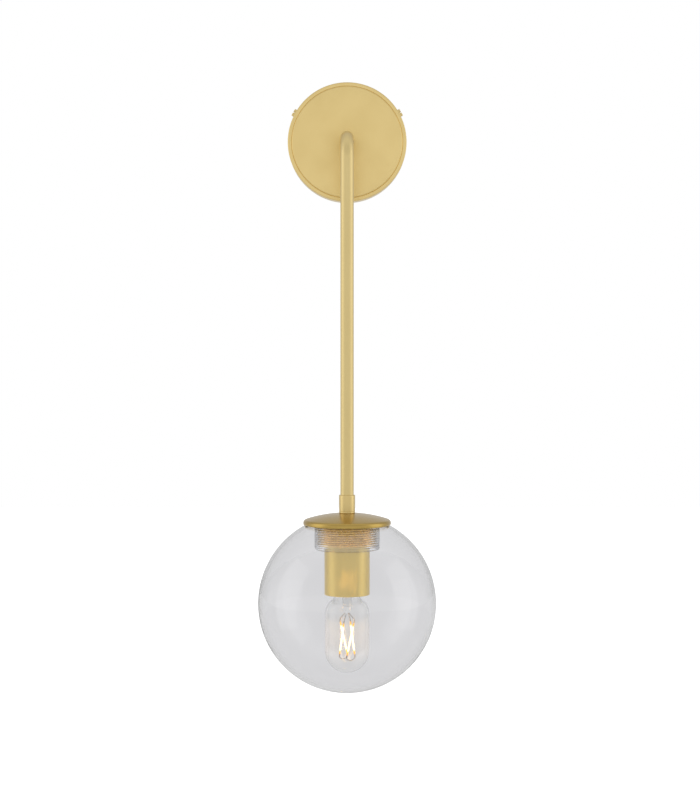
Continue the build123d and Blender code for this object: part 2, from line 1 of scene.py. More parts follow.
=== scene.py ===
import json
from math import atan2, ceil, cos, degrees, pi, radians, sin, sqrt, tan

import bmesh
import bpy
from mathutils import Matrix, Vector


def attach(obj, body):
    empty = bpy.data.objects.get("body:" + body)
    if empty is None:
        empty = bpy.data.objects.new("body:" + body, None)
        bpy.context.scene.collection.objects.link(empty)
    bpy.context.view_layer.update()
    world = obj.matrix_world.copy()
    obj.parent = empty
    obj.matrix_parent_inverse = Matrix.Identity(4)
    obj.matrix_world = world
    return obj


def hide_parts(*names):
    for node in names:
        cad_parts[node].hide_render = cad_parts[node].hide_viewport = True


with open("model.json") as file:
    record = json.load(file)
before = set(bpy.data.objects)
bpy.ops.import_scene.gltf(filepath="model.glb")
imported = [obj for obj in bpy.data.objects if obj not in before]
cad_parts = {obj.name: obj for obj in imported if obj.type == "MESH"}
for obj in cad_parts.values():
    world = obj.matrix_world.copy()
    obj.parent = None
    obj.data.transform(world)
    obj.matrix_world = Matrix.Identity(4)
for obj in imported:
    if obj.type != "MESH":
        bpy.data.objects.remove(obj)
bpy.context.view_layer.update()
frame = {"nodes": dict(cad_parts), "record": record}

# %% [markdown]
# # Dressing a globe wall light
#
# The light is a round canopy on the wall, one bent tube that drops a long way, and a clear glass globe that
# screws on to a turned ring under a small domed cap. A socket cup and a filament bulb hang inside the globe.
# The frame above holds the measured solids of all of it, each on the body that it moves with. This lesson
# puts a finished surface in the place of each one that shows: real threads, spun and brushed brass, blown
# glass and a lit bulb. Sizes are written in millimetres and turned into Blender's metres by one factor.

mm = 0.001
stem_place = (0, -100, 0)  # where the stem's axis crosses the arm's, in millimetres
stem_centre = (0, stem_place[1] * mm, 0)
scene = bpy.context.scene
scene.view_settings.view_transform = "Standard"
body_of = {node: body for body, nodes in frame["record"]["behaviour"]["bodies"].items() for node in nodes}

# %% [markdown]
# ## The camera
#
# A tall, thin light is pictured from some way off with a long lens, so that its ends aren't stretched. The
# perspective gives the place: the canopy, which is further back, is drawn 3% smaller than the stem in front
# of it, and the cap's rim is seen a little from above. That puts the lens two metres out, level with the
# stem's upper half and tilted down a little.

# %% Camera
picture_high = 800
focal_length = 2012  # in picture pixels
camera = bpy.data.objects.new("camera", bpy.data.cameras.new("camera"))
scene.collection.objects.link(camera)
camera.data.sensor_width = 36
camera.data.lens = focal_length * camera.data.sensor_width / picture_high
camera.location = (2.9 * mm, -2101 * mm, -176.3 * mm)
tilt = 2.446  # degrees downwards
camera.rotation_euler = (radians(90 - tilt), 0, 0)
scene.camera = camera
print("lens", round(camera.data.lens, 1), "mm")

# %% [markdown]
# ## Expressions that become nodes
#
# A material or a geometry tree is a graph, and writing one node at a time hides the sum that it works out.
# The small class below wraps one output socket and gives it the usual operators, so an expression such as
# `1 - height / top` adds its Math nodes by itself. Any other node comes from one method, which sets the
# node's own choices first and then fills or links its sockets.

# %% Graph helper
def operator(operation, swapped=False):
    """A method that turns one operator into a Math node."""
    def run(self, other):
        return self.graph.math(operation, *((other, self) if swapped else (self, other)))
    return run


class Value:
    """One output socket, with the arithmetic that turns an expression into Math nodes."""

    __add__ = __radd__ = operator("ADD")
    __sub__, __rsub__ = operator("SUBTRACT"), operator("SUBTRACT", True)
    __mul__ = __rmul__ = operator("MULTIPLY")
    __truediv__, __pow__ = operator("DIVIDE"), operator("POWER")

    def __init__(self, graph, socket):
        self.graph = graph
        self.socket = socket


class Graph:
    """A node tree under construction."""

    def __init__(self, tree):
        self.tree = tree
        tree.nodes.clear()

    def add(self, kind, inputs=None, choices=None, output=0):
        node = self.tree.nodes.new(kind)
        for name, choice in (choices or {}).items():
            setattr(node, name, choice)
        for name, value in (inputs or {}).items():
            if isinstance(value, Value):
                self.tree.links.new(value.socket, node.inputs[name])
            else:
                node.inputs[name].default_value = value
        return Value(self, node.outputs[output]) if node.outputs else None

    def math(self, operation, *values):
        return self.add("ShaderNodeMath", dict(enumerate(values)), {"operation": operation})

    def vector(self, operation, *values, output=0, **sockets):
        sockets = {**dict(enumerate(values)), **sockets}
        return self.add("ShaderNodeVectorMath", sockets, {"operation": operation}, output)

    def join(self, x=0.0, y=0.0, z=0.0):
        return self.add("ShaderNodeCombineXYZ", {"X": x, "Y": y, "Z": z})

    def split(self, vector):
        node = self.add("ShaderNodeSeparateXYZ", {"Vector": vector}).socket.node
        return [Value(self, node.outputs[axis]) for axis in "XYZ"]

    def clamp(self, value):
        return self.add("ShaderNodeClamp", {"Value": value})

    def step(self, value, low, high, first=0.0, last=1.0):
        """The first level below low, the last one above high and smooth between."""
        sockets = {"Value": value, "From Min": low, "From Max": high, "To Min": first, "To Max": last}
        return self.add("ShaderNodeMapRange", sockets, {"interpolation_type": "SMOOTHSTEP"})

    def ray(self, question):
        """What the Light Path node says of the ray that asks."""
        return self.add("ShaderNodeLightPath", output=question)


print("graph helper ready")

# %% [markdown]
# ## A finish is a surface and what varies over it
#
# Each material below is one Principled surface. What is the same all over is set on its own socket, and
# only colour, roughness and the fine relief come from patterns. The patterns read the object's own
# coordinates in metres, so a scratch is as long on the small ferrule as it is on the canopy.

# %% Finish helper
class Finish(Graph):
    """A material with one Principled surface and procedural patterns."""

    def __init__(self, name):
        self.material = bpy.data.materials.new(name)
        self.material.use_nodes = True
        super().__init__(self.material.node_tree)

    def place(self):
        """The point's own place on the light, in metres."""
        return self.add("ShaderNodeTexCoord", output="Object")

    def noise(self, vector, scale, detail=2.0, rough=0.5):
        """Soft noise about 0.5; scale is in blobs per metre."""
        sockets = {"Vector": vector, "Scale": scale, "Detail": detail, "Roughness": rough}
        return self.add("ShaderNodeTexNoise", sockets, output="Fac")

    def blend(self, share, first, second):
        """A colour between two colours."""
        sockets = {0: share, 6: (*first, 1.0) if isinstance(first, tuple) else first,
                   7: (*second, 1.0) if isinstance(second, tuple) else second}
        return self.add("ShaderNodeMix", sockets, {"data_type": "RGBA"}, 2)

    def relief(self, height, distance, strength=1.0):
        """A normal from a height, which is scaled by a distance in metres."""
        sockets = {"Height": height, "Distance": distance, "Strength": strength}
        return self.add("ShaderNodeBump", sockets)

    def surface(self, **sockets):
        """The Principled surface; socket names are written with _ for a space."""
        named = {name.replace("_", " "): value for name, value in sockets.items()}
        return self.add("ShaderNodeBsdfPrincipled", named)

    def done(self, surface=None, **sockets):
        """The material, from a surface or from the Principled surface's sockets."""
        self.add("ShaderNodeOutputMaterial", {"Surface": surface or self.surface(**sockets)})
        print("finish", self.material.name, "with", len(self.tree.nodes), "nodes")
        return self.material


print("finish helper ready")

# %% [markdown]
# ## Floor, light and sky
#
# The light hangs before a white background that only shows: to the camera, in metal and through glass. It
# adds no light to the object. Polished things give an uneven room away, so the room that metal mirrors is a
# little darker above the lens, halfway round to the sides and behind the light, and glass that is looked
# straight through shows the grey of the wall. The floor adds its own white to its shading, more of it
# further out, so that it meets the background without a line and keeps the object's shadow. Two tall soft
# boxes at the sides, a little towards the lens, draw the pale bands along the tube and the patches on the
# globe. A third lights everything from above and in front, and nothing mirrors it.

# %% Sky
def seen_rays(graph):
    """1 for a ray that shows the background: from the camera, off metal or through glass."""
    rays = [graph.ray(f"Is {kind} Ray") for kind in ("Camera", "Glossy", "Transmission")]
    return graph.clamp(rays[0] + rays[1] + rays[2])


world = bpy.data.worlds.new("sky")
world.use_nodes = True
scene.world = world
sky = Graph(world.node_tree)
direction = sky.add("ShaderNodeTexCoord", output="Generated")
sideways, towards_wall, upwards = sky.split(direction)

white = (1, 1, 1, 1)
room_level = 0.97  # what metal mirrors, level with the lens
wall_behind = 0.727  # what shows straight through the glass
sky_light = 0.6  # what lights the object
front_above = sky.step(upwards * towards_wall * -1.0, 0.08, 0.36, first=1.0, last=0.74)
close_behind = sky.step(towards_wall + upwards * 0.4, 0.25, 0.75, first=1.0, last=0.67)
halfway_round = sideways * sideways * (1 - sideways * sideways)
room = (room_level - halfway_round * 0.4) * front_above * close_behind
mirrored_before = sky.math("MINIMUM", sky.ray("Glossy Depth"), 1.0)
straight_through = sky.ray("Is Transmission Ray") * (1 - mirrored_before)
indirect = room + straight_through * (wall_behind - room)
strength = sky.math("MAXIMUM", sky.ray("Is Camera Ray"), indirect)
behind = sky.add("ShaderNodeBackground", {"Color": white, "Strength": strength})
lighting = sky.add("ShaderNodeBackground", {"Color": white, "Strength": sky_light})
both = sky.add("ShaderNodeMixShader", {0: seen_rays(sky), 1: lighting, 2: behind})
sky.add("ShaderNodeOutputWorld", {"Surface": both})
print("sky ready")

# %% Floor
floor_level, half = -1.25, 9
floor_corners = [(x, y, floor_level) for x, y in ((-half, -half), (half, -half), (half, half), (-half, half))]
floor_mesh = bpy.data.meshes.new("floor")
floor_mesh.from_pydata(floor_corners, [], [(0, 1, 2, 3)])
floor = bpy.data.objects.new("floor", floor_mesh)
scene.collection.objects.link(floor)
pale = Finish("pale_floor")
shaded = pale.add("ShaderNodeBsdfDiffuse", {"Color": (0.85, 0.85, 0.85, 1)})
from_centre = pale.vector("LENGTH", pale.place(), output=1)
near_white, far_white, mirrored_white = 0.5, 0.85, 0.21
white_share = pale.step(from_centre, 1.2, 4.0) * (far_white - near_white) + near_white
white_share = white_share * (pale.ray("Is Camera Ray") * (1 - mirrored_white) + mirrored_white)
own_white = pale.add("ShaderNodeEmission", {"Color": white, "Strength": seen_rays(pale) * white_share})
floor_mesh.materials.append(pale.done(pale.add("ShaderNodeAddShader", {0: shaded, 1: own_white})))
print("floor", floor_level, "m below the arm")

# %% Soft boxes
def soft_box(name, place, size, power, mirrored=True, target=(0, -0.1, -0.4)):
    """A soft rectangular lamp that faces the light; metal and glass mirror it if asked."""
    lamp = bpy.data.lights.new(name, "AREA")
    lamp.shape = "RECTANGLE"
    lamp.size, lamp.size_y = size
    lamp.energy = power
    holder = bpy.data.objects.new(name, lamp)
    holder.location = place
    holder.rotation_euler = (Vector(target) - Vector(place)).to_track_quat("-Z", "Y").to_euler()
    holder.visible_glossy = holder.visible_transmission = mirrored
    scene.collection.objects.link(holder)


for side, name in ((-1, "left_soft_box"), (1, "right_soft_box")):
    soft_box(name, (1.5 * side, -0.26, -0.2), size=(1.0, 2.0), power=2.1)
soft_box("top_soft_box", (0.0, -1.3, 1.5), size=(1.6, 0.9), power=12, mirrored=False)
print("three soft boxes")

# %% [markdown]
# ## Satin brass
#
# The metal is brass, brushed and then lacquered. Its colour is even, and what tells the eye that it is
# metal is the grain: marks a fraction of a millimetre apart that run round a spun piece and along a tube.
# The marks are too fine for the mesh, so they are relief in the surface's normal. Across the grain the
# noise changes fast and along it slowly, because its coordinates are stretched. The grain spreads
# reflections across its own direction, as real brushing does. Canopy, tube, cap and cup have their own
# depth of colour and gloss; the canopy's lighter colour is painted light and the cap's much darker one is
# painted shade.

# %% Brushed metal
def round_axis(finish, axis):
    """Distance from the stem's axis (Z) or the canopy's (Y), height along it, and the place across it."""
    x, y, z = finish.split(finish.place())
    across, height = (y - stem_centre[1], z) if axis == "Z" else (z, y)
    return (x * x + across * across) ** 0.5, height, x, across


tube_marks, turned_marks = 9000.0, 6500.0  # brush marks per metre, across the grain
tube_run, turned_run, cloudiness = 130.0, 160.0, 40.0  # along the grain, and patches per metre


def brushed_brass(name, grain, colour=(0.765, 0.592, 0.260), deep=(0.690, 0.510, 0.200), rough=0.33, marks=1.0):
    """Satin brass; grain is "stem" or "canopy" for marks round an axis, or "tube" for marks along the arm."""
    finish = Finish(name)
    if grain == "tube":
        reader = finish.add("ShaderNodeAttribute", None, {"attribute_name": "grain"}, "Vector")
        across_x, across_y, along = finish.split(reader)
        lines = finish.join(across_x * tube_marks, across_y * tube_marks, along * tube_run)
        cloud = finish.join(across_x * cloudiness, across_y * cloudiness, along * 14.0)
    else:
        radius, height, x, y = round_axis(finish, "Z" if grain == "stem" else "Y")
        lines = finish.join(radius * turned_marks, height * turned_marks, x * turned_run + y * 60.0)
        cloud = finish.join(x * cloudiness, y * cloudiness, height * cloudiness)
    fine = finish.noise(lines, 1.0, detail=3.0, rough=0.6)
    soft = finish.noise(cloud, 1.0)
    wear = finish.step(soft, 0.25, 0.8)
    shade = finish.blend(wear * 0.25 + (fine - 0.5) * 0.5 * marks + 0.1, colour, deep)
    gloss = (fine - 0.5) * 0.14 * marks + (soft - 0.5) * 0.10 + rough
    normal = finish.relief(fine, 0.02 * mm * marks)
    return finish.done(Base_Color=shade, Metallic=1.0, Roughness=gloss, Normal=normal, Coat_Weight=0.35,
                       Coat_Roughness=0.28)


# lit and shaded copies of one brass: the canopy's lighter colour is painted light, the cap's much darker colour
# is painted shade
brass_face_painted_light = brushed_brass("satin_brass_face", "canopy", (0.826, 0.636, 0.273), (0.745, 0.549, 0.210))
brass_tube = brushed_brass("satin_brass_tube", "tube", (0.775, 0.616, 0.285), (0.705, 0.545, 0.230), rough=0.43)
brass_spun = brushed_brass("satin_brass_spun", "stem")
brass_cap_painted_shade = brushed_brass("satin_brass_cap", "stem", (0.51, 0.35, 0.088), (0.45, 0.30, 0.075), rough=0.22)
brass_cup = brushed_brass("satin_brass_cup", "stem", (0.80, 0.605, 0.205), (0.73, 0.53, 0.16), rough=0.38)


def thread_wave(graph, x, y, height, pitch):
    """1 on the crest of a right-hand thread and 0 in its root."""
    turns = height / pitch - graph.math("ARCTAN2", y, x) / (2 * pi)
    return graph.math("COSINE", turns * (2 * pi)) * 0.5 + 0.5


def thread_shaded_brass(name, crest, root, pitch):
    """Turned brass with painted light and shade on its thread: a painted highlight on its crests and painted
    shade in its roots.
    """
    finish = Finish(name)
    _, height, x, y = round_axis(finish, "Z")
    root_shade_crest_light = thread_wave(finish, x, y, height, pitch)
    chatter = finish.noise(finish.join(x * 160.0, y * 160.0, height * 3000.0), 1.0)
    # painted shade in the thread's roots and a painted highlight on its crests, in step with the thread's turns
    shade = finish.blend(finish.step(root_shade_crest_light * 0.8 + chatter * 0.4, 0.2, 0.85), root, crest)
    return finish.done(Base_Color=shade, Metallic=1.0, Roughness=(chatter - 0.5) * 0.2 + 0.26,
                       Normal=finish.relief(chatter, 0.03 * mm))


thread_pitch = 2.2
# the ring's brass carries painted shade in its thread roots and a painted highlight on its crests
ring_brass = thread_shaded_brass("ring_brass", (1.0, 0.70, 0.24), (0.52, 0.24, 0.06), thread_pitch * mm)
brass_contact = brushed_brass("contact_brass", "stem", (0.68, 0.50, 0.22), (0.48, 0.33, 0.14), 0.22, marks=0.5)

# %% [markdown]
# ## Steel, mouldings and glass
#
# The hidden parts are zinc-plated steel, whose plating shows pale crystals, and plain mouldings with a fine
# moulded grain. Clear glass has almost nothing to see in it, so its small faults matter: a blown wall is
# never quite even, and a slow, weak relief makes its reflections waver. Glass would cast a solid shadow
# from a lamp, so for shadow rays it lets most of the light through. The bulb and its mount bend light less,
# so that what hangs in them stays clear. The bulb's thin wall is darkest where it is seen edge-on, and
# has a painted glow: a faint warm emission round the rods' level that stands in for their light.

# %% Steel and mouldings
def plated_steel(name, colour=(0.62, 0.62, 0.60), deep=(0.46, 0.46, 0.45)):
    finish = Finish(name)
    place = finish.place()
    crystals = finish.add("ShaderNodeTexVoronoi", {"Vector": place, "Scale": 900.0}, output="Distance")
    cloud = finish.noise(place, 120.0, 3.0)
    shade = finish.blend(crystals * 0.6 + cloud * 0.4, colour, deep)
    return finish.done(Base_Color=shade, Metallic=1.0, Roughness=crystals * 0.15 + 0.28,
                       Normal=finish.relief(cloud, 0.03 * mm))


def moulding(name, colour, deep, rough, grain=2500.0, coat=0.0):
    finish = Finish(name)
    place = finish.place()
    pores = finish.noise(place, grain)
    shade = finish.blend(finish.noise(place, 60.0), colour, deep)
    return finish.done(Base_Color=shade, Roughness=(pores - 0.5) * 0.2 + rough, Coat_Weight=coat,
                       Normal=finish.relief(pores, 0.02 * mm))


zinc = plated_steel("zinc_steel")
nickel = plated_steel("nickel_base", (0.72, 0.69, 0.63), (0.55, 0.52, 0.47))
solder = plated_steel("solder", (0.60, 0.60, 0.61), (0.42, 0.42, 0.43))
wire_metal = plated_steel("wire_metal", (0.46, 0.38, 0.28), (0.30, 0.24, 0.18))
green_screw = plated_steel("green_screw", (0.05, 0.30, 0.09), (0.03, 0.20, 0.06))
white_plastic = moulding("white_plastic", (0.80, 0.80, 0.77), (0.72, 0.72, 0.68), 0.42)
black_phenolic = moulding("black_phenolic", (0.018, 0.017, 0.016), (0.035, 0.032, 0.03), 0.38)
ceramic = moulding("white_ceramic", (0.82, 0.81, 0.77), (0.74, 0.72, 0.67), 0.25, 900.0, 0.5)
black_glass = moulding("black_glass", (0.01, 0.01, 0.012), (0.02, 0.02, 0.025), 0.12, 600.0, 0.6)
silicone = moulding("clear_silicone", (0.72, 0.72, 0.70), (0.62, 0.62, 0.60), 0.45, 1800.0)
board_green = moulding("circuit_board", (0.03, 0.16, 0.07), (0.02, 0.10, 0.05), 0.4, 1500.0)

# %% Clear glass
def clear_glass(name, tint, deep, waviness, edge=0.0, bending=1.5, let_through=0.85, **light):
    """Clear glass; edge darkens it edge-on, bending is its index, light is the level and colour of a painted
    glow.
    """
    finish = Finish(name)
    place = finish.place()
    slow = finish.noise(place, 14.0, 1.0)
    fine = finish.noise(place, 55.0)
    edge_on = finish.step(finish.add("ShaderNodeLayerWeight", {"Blend": 0.5}, output="Facing"), 0.45, 0.95)
    shade = finish.blend(edge_on * edge, finish.blend(slow, tint, deep), (0.80, 0.84, 0.80))
    if light:
        # a painted glow: the glass itself emits a faint warm band round the rods' level, standing in for their
        # scattered light
        away = finish.math("ABSOLUTE", finish.split(place)[2] - light["level"])
        warm = finish.blend(finish.step(away, 8 * mm, 26 * mm), light["colour"], (0, 0, 0))
        light = {"Emission_Color": warm, "Emission_Strength": 1.0}
    body = finish.surface(Base_Color=shade, Roughness=0.0, IOR=bending, Transmission_Weight=1.0,
                          Normal=finish.relief(slow + fine * 0.15, waviness), **light)
    open_air = finish.add("ShaderNodeBsdfTransparent", {"Color": (let_through,) * 3 + (1,)})
    shares = {0: finish.ray("Is Shadow Ray"), 1: body, 2: open_air}
    return finish.done(finish.add("ShaderNodeMixShader", shares))


globe_glass = clear_glass("clear_glass", (0.981, 0.980, 0.990), (0.968, 0.967, 0.978), 0.25 * mm)
# the rods' level centres the painted glow on the bulb's glass
rods_level = -500.4 * mm
bulb_clear = clear_glass("bulb_glass", (0.994, 0.993, 0.987), (0.986, 0.986, 0.978), 0.03 * mm, edge=0.16,
                         bending=1.42, let_through=0.97, level=rods_level, colour=(0.018, 0.009, 0.001))
mount_glass = clear_glass("mount_glass", (0.992, 0.992, 0.986), (0.984, 0.985, 0.978), 0.03 * mm, edge=0.1,
                          bending=1.12, let_through=0.97)

# %% [markdown]
# ## Turning a piece
#
# Most of this light was spun or turned, so most pieces are one closed outline swept round an axis. The
# outline is written as corners with a rounding each, the way a turner reads a drawing, and each rounded
# corner becomes an arc. Blender's Spin would do the sweep, but a direct loop keeps the order of the
# points, so that faces always look outwards, and it lets a point on the axis close a pole.

# %% Outlines
def rounded(corners, turn=10):
    """A closed outline's (radius, height, rounding) corners as points, one for each few degrees of turn."""
    points = []
    for n, (radius, height, rounding) in enumerate(corners):
        here = Vector((radius, height))
        if not rounding:
            points.append(here)
            continue
        before = (Vector(corners[n - 1][:2]) - here).normalized()
        after = (Vector(corners[(n + 1) % len(corners)][:2]) - here).normalized()
        half = before.angle(after) / 2
        centre = here + (before + after).normalized() * rounding / sin(half)
        start = here + before * rounding / tan(half) - centre
        end = here + after * rounding / tan(half) - centre
        first = atan2(start.y, start.x)
        sweep = (atan2(end.y, end.x) - first + pi) % (2 * pi) - pi
        count = max(2, ceil(abs(degrees(sweep)) / turn))
        for k in range(count + 1):
            angle = first + sweep * k / count
            points.append(centre + Vector((cos(angle), sin(angle))) * rounding)
    return points


def arc(centre_height, radius, start, end, turn):
    """Points of an arc about a centre on the axis, between two angles above the level, in degrees."""
    count = max(2, ceil(abs(end - start) / turn))
    angles = [radians(start + (end - start) * k / count) for k in range(count + 1)]
    return [Vector((max(radius * cos(a), 0.0), centre_height + radius * sin(a))) for a in angles]


def straight(radius, start, end, count):
    """Points of a wall, from one height to just before another."""
    return [Vector((radius, start + (end - start) * k / count)) for k in range(count)]


def divided(points, step):
    """The closed outline with each long straight run divided, for a thread or a bend to follow."""
    fine = []
    for n, here in enumerate(points):
        after = points[(n + 1) % len(points)]
        count = max(1, round((after - here).length / step))
        fine += [here.lerp(after, k / count) for k in range(count)]
    return fine


print("outline helpers ready")

# %% Turning
on_axis = Matrix.Identity(4)
on_stem = Matrix.Translation(stem_place)
on_canopy = Matrix.Rotation(radians(90), 4, "X")


def smoothed(mesh, crease=35.0):
    """The mesh, smooth but for its creases."""
    mesh.shade_smooth()
    mesh.set_sharp_from_angle(angle=radians(crease))
    return mesh


def shown(name, mesh):
    piece = bpy.data.objects.new("dressed_" + name, mesh)
    scene.collection.objects.link(piece)
    return piece


def transformed(piece, place):
    """Moves the piece's own points by a matrix in millimetres."""
    piece.data.transform(Matrix.Scale(mm, 4) @ place @ Matrix.Scale(1 / mm, 4))


def turned(name, outline, sides, place=on_stem, threads=()):
    """The closed outline swept round an axis. threads are (radius, low, high, share of the depth) bands."""
    area = sum(a.cross(b) for a, b in zip(outline, outline[1:] + outline[:1]))
    vertices, rings, weights = [], [], []
    for point in outline if area > 0 else outline[::-1]:
        moves = sum(share for radius, low, high, share in threads
                    if abs(point.x - radius) < 0.01 and low <= point.y <= high)
        around = 1 if point.x < 1e-6 else sides
        rings.append([len(vertices) + k for k in range(around)])
        weights += [float(moves)] * around
        for k in range(around):
            angle = 2 * pi * k / sides
            vertices.append(place @ Vector((point.x * cos(angle), point.x * sin(angle), point.y)))
    faces = []
    for low, high in zip(rings, rings[1:] + rings[:1]):
        if len(low) == 1 and len(high) == 1:
            continue
        for k in range(sides):
            after = k + 1
            loop = [low[k % len(low)], low[after % len(low)], high[after % len(high)], high[k % len(high)]]
            faces.append(list(dict.fromkeys(loop)))
    mesh = bpy.data.meshes.new(name)
    mesh.from_pydata([tuple(v * mm for v in p) for p in vertices], [], faces)
    smoothed(mesh)
    if threads:
        mesh.attributes.new("thread", "FLOAT", "POINT").data.foreach_set("value", weights)
    return shown(name, mesh)


print("turning ready")

# %% [markdown]
# ## Threads, copies and paths by rule
#
# Three things on this light follow a rule. A thread moves a wall in and out as it climbs, copies stand at
# even angles round an axis, and the arm follows a path. Geometry Nodes hold each rule once, with its sizes
# as named inputs. A tree's result is turned into a plain mesh straight away, because a piece has to carry
# its own shape when it leaves this file.

# %% Tree helper
class Tree(Graph):
    """A geometry tree with named inputs, ended by Realize Instances and Set Material."""

    def __init__(self, name, inputs):
        group = bpy.data.node_groups.new(name, "GeometryNodeTree")
        super().__init__(group)
        face = group.interface
        face.new_socket("Geometry", in_out="OUTPUT", socket_type="NodeSocketGeometry")
        face.new_socket("Geometry", in_out="INPUT", socket_type="NodeSocketGeometry")
        for label, kind in (*inputs.items(), ("Finish", "Material")):
            face.new_socket(label, in_out="INPUT", socket_type="NodeSocket" + kind)
        self.start = group.nodes.new("NodeGroupInput")

    def __getitem__(self, label):
        return Value(self, self.start.outputs[label])

    def stored(self, geometry, name, value, kind="FLOAT_VECTOR"):
        sockets = {"Geometry": geometry, "Name": name, "Value": value}
        return self.add("GeometryNodeStoreNamedAttribute", sockets, {"data_type": kind, "domain": "POINT"})

    def read(self, name, kind="FLOAT"):
        return self.add("GeometryNodeInputNamedAttribute", {"Name": name}, {"data_type": kind})

    def end(self, geometry):
        real = self.add("GeometryNodeRealizeInstances", {"Geometry": geometry})
        sockets = {"Geometry": real, "Material": self["Finish"]}
        self.add("NodeGroupOutput", {"Geometry": self.add("GeometryNodeSetMaterial", sockets)})


def baked(piece):
    """The piece with its modifiers' result as its own plain mesh."""
    watcher = bpy.context.evaluated_depsgraph_get()
    result = bpy.data.meshes.new_from_object(piece.evaluated_get(watcher), preserve_all_data_layers=True,
                                             depsgraph=watcher)
    piece.modifiers.clear()
    piece.data = result
    return piece


def grown(piece, tree, finish, **sizes):
    """Runs a tree on a piece and leaves its result as the piece's own plain mesh."""
    modifier = piece.modifiers.new("rule", "NODES")
    modifier.node_group = tree.tree
    sizes["finish"] = finish
    for item in tree.tree.interface.items_tree:
        label = item.name.replace(" ", "_").lower()
        if item.in_out == "INPUT" and label in sizes:
            modifier[item.identifier] = sizes[label]
    return baked(piece)


print("tree helper ready")

# %% Thread rule
labels = dict.fromkeys(("Pitch", "Depth", "Low", "High", "Fade", "Sharpness"), "Float")
thread_rule = rule = Tree("thread_rule", {"Centre": "Vector", **labels})
spot = rule.add("GeometryNodeInputPosition")
arm_x, arm_y, level = rule.split(rule.vector("SUBTRACT", spot, rule["Centre"]))
crest = thread_wave(rule, arm_x, arm_y, level, rule["Pitch"]) ** rule["Sharpness"]
rise = rule.clamp((level - rule["Low"]) / rule["Fade"])
fall = rule.clamp((rule["High"] - level) / rule["Fade"])
push = crest * rise * fall * rule.read("thread") * rule["Depth"]
outwards = rule.vector("NORMALIZE", rule.join(arm_x, arm_y))
moved = {"Geometry": rule["Geometry"], "Offset": rule.vector("SCALE", outwards, Scale=push)}
rule.end(rule.add("GeometryNodeSetPosition", moved))


def threaded(piece, finish, pitch, depth, low, high, fade, sharpness, centre=stem_centre):
    """Runs the thread rule on a piece, with its lengths in millimetres."""
    lengths = {"pitch": pitch, "depth": depth, "low": low, "high": high, "fade": fade}
    in_metres = {name: length * mm for name, length in lengths.items()}
    return grown(piece, thread_rule, finish, centre=centre, sharpness=sharpness, **in_metres)


print("thread rule with", len(rule.tree.nodes), "nodes")

# %% Copies rule
copies_rule = rule = Tree("copies_rule", {"Centre": "Vector", "Axis": "Vector", "Count": "Int",
                                          "First": "Float", "Step": "Float"})
middle = rule["Centre"]
stands = rule.add("GeometryNodePoints", {"Count": rule["Count"], "Position": middle})
back = {"Geometry": rule["Geometry"], "Translation": rule.vector("SCALE", middle, Scale=-1.0)}
centred = rule.add("GeometryNodeTransform", back)
angle = rule.add("GeometryNodeInputIndex") * rule["Step"] + rule["First"]
facing = rule.add("FunctionNodeAxisAngleToRotation", {"Axis": rule["Axis"], "Angle": angle})
copies = {"Points": stands, "Instance": centred, "Rotation": facing}
rule.end(rule.add("GeometryNodeInstanceOnPoints", copies))


def copied(piece, finish, count, first=0.0, centre=stem_centre, axis=(0, 0, 1)):
    """Copies of a piece at even angles round an axis, from a first angle in radians."""
    return grown(piece, copies_rule, finish, centre=centre, axis=axis, count=count, first=first,
                 step=2 * pi / count)


print("copies rule with", len(rule.tree.nodes), "nodes")

# %% Arm rule
arm_rule = rule = Tree("arm_rule", {"Bend Radius": "Float", "Bend Steps": "Int", "Tube Radius": "Float",
                                    "Sides": "Int"})
line = rule.add("GeometryNodeMeshToCurve", {"Mesh": rule["Geometry"]})
bend = {"Curve": line, "Radius": rule["Bend Radius"], "Count": rule["Bend Steps"]}
path = rule.add("GeometryNodeFilletCurve", bend, {"mode": "POLY"})
run = rule.add("GeometryNodeSplineParameter", output="Length")
path = rule.stored(path, "run", run, "FLOAT")
ring = {"Resolution": rule["Sides"], "Radius": rule["Tube Radius"]}
circle = rule.add("GeometryNodeCurvePrimitiveCircle", ring)
circle = rule.stored(circle, "around", rule.add("GeometryNodeInputPosition"))
skin = rule.add("GeometryNodeCurveToMesh", {"Curve": path, "Profile Curve": circle})
skin = rule.add("GeometryNodeSetShadeSmooth", {"Geometry": skin, "Shade Smooth": True})
around_x, around_y, _ = rule.split(rule.read("around", "FLOAT_VECTOR"))
rule.end(rule.stored(skin, "grain", rule.join(around_x, around_y, rule.read("run"))))
print("arm rule with", len(rule.tree.nodes), "nodes")

# %% [markdown]
# ## Putting a piece in its place
#
# A dressed piece stands for one node of the frame, or for four where the solids split one blown glass. It
# rides on the same body, takes its finish, and hides the solid. Pieces that nobody sees in use keep the
# solid's shape, in a copy whose triangles are joined so that round faces shade smoothly.

# %% Settling
def settle(piece, finish, *nodes):
    """Gives a piece its finish and puts it on the body of the nodes that it stands for."""
    if not piece.data.materials:
        piece.data.materials.append(finish)
    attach(piece, body_of[nodes[0]])
    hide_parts(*nodes)
    piece.data.calc_loop_triangles()
    print(piece.name, "rides on", body_of[nodes[0]], "with", len(piece.data.loop_triangles), "triangles")
    return piece


def settle_turned(name, corners, sides, finish, place=on_stem, turn=10):
    """Turns a piece and settles it in the place of the node of its name."""
    return settle(turned(name, rounded(corners, turn), sides, place), finish, name)


def smooth_copy(node, finish):
    """A copy of a node's solid with its loose triangles joined."""
    work = bmesh.new()
    work.from_mesh(frame["nodes"][node].data)
    bmesh.ops.remove_doubles(work, verts=work.verts, dist=1e-6)
    mesh = bpy.data.meshes.new(node)
    work.to_mesh(mesh)
    work.free()
    return settle(shown(node, smoothed(mesh, crease=28.0)), finish, node)


print("settling ready")

# %% [markdown]
# ## Canopy
#
# The canopy is spun from one sheet: a drum with a raised disc in its face. Its look hangs on small
# roundings, which each catch a thin line of light: the rim, the disc's edge, and the fine dark foot of the
# disc. The grain runs round the arm, as it does when a spinner holds abrasive to it.

